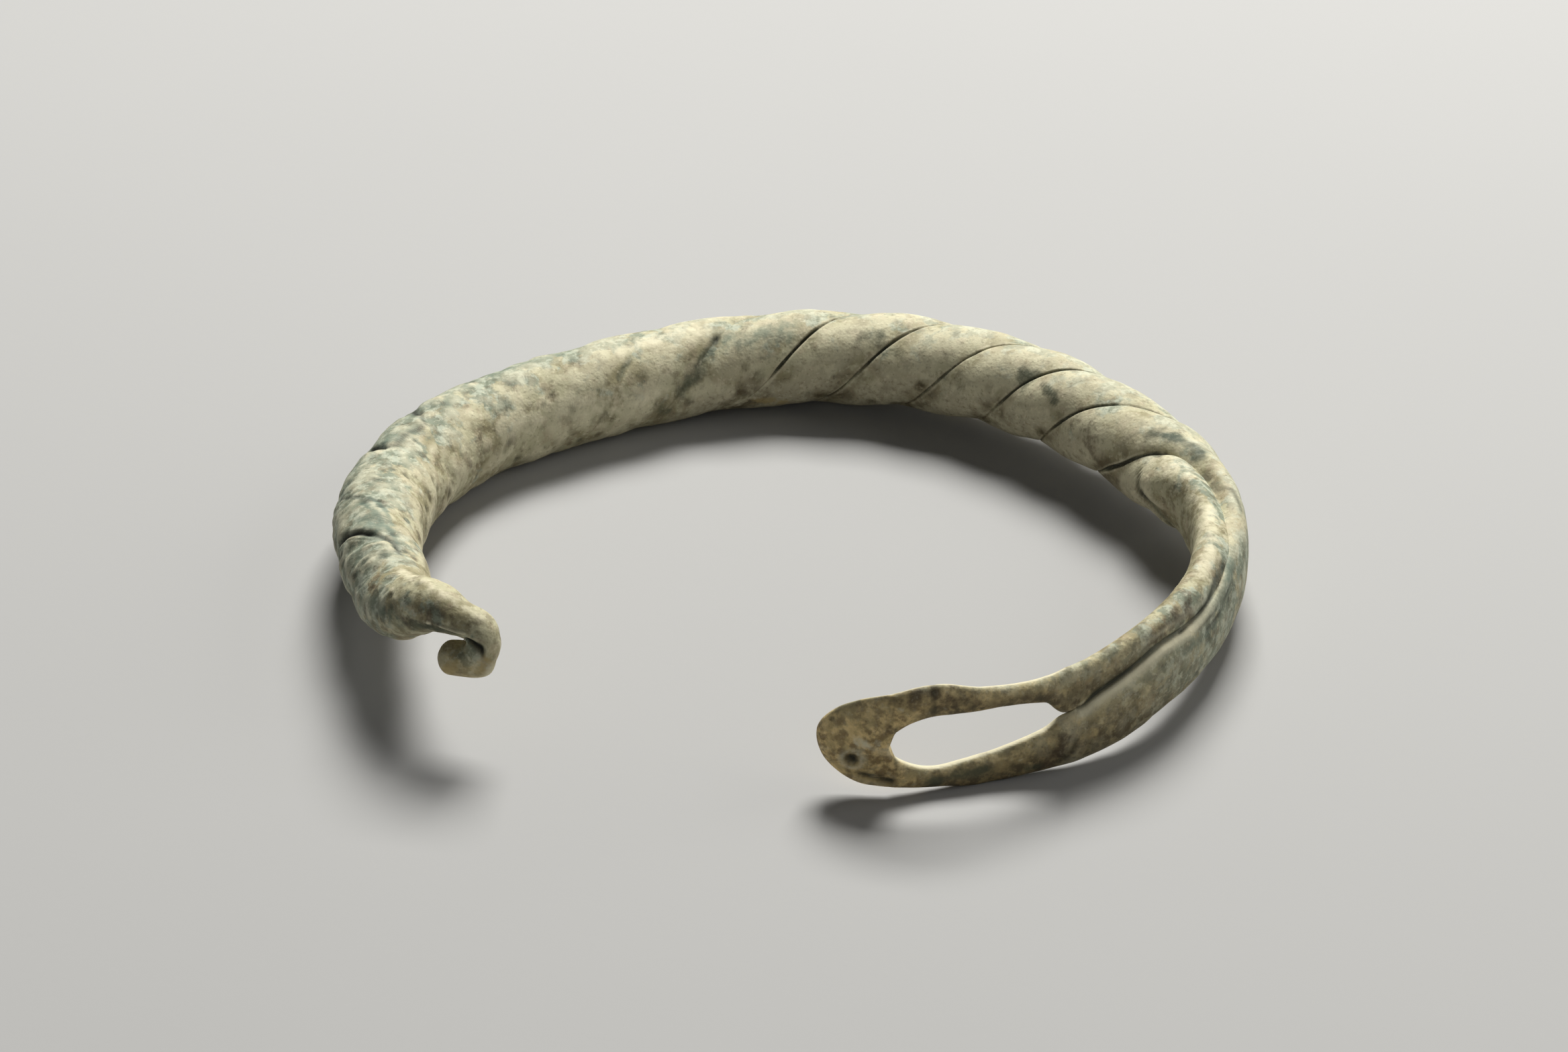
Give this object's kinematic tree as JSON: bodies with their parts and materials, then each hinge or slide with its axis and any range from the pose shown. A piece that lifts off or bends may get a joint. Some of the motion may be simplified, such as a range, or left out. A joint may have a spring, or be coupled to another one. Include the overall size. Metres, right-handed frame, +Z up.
{
  "type": "ancient twisted bronze bracelet",
  "caption": "Open bracelet of one bronze rod: strands twisted round the back, a long upright eye at one end and a curled hook at the other.",
  "frame": {"origin": "middle of the bounding box in plan, at the surface that the bracelet lies on", "axes": "+Z up from the surface that it lies on, the opening towards -Y, the hook at -X and the eye at +X"},
  "size_m": [0.0696, 0.0588, 0.0116],
  "materials": {
    "patinated_bronze": "matt, crusted pale grey-green patina over bronze"
  },
  "bodies": {
    "root": {"bracelet": "patinated_bronze"}
  },
  "joints": []
}
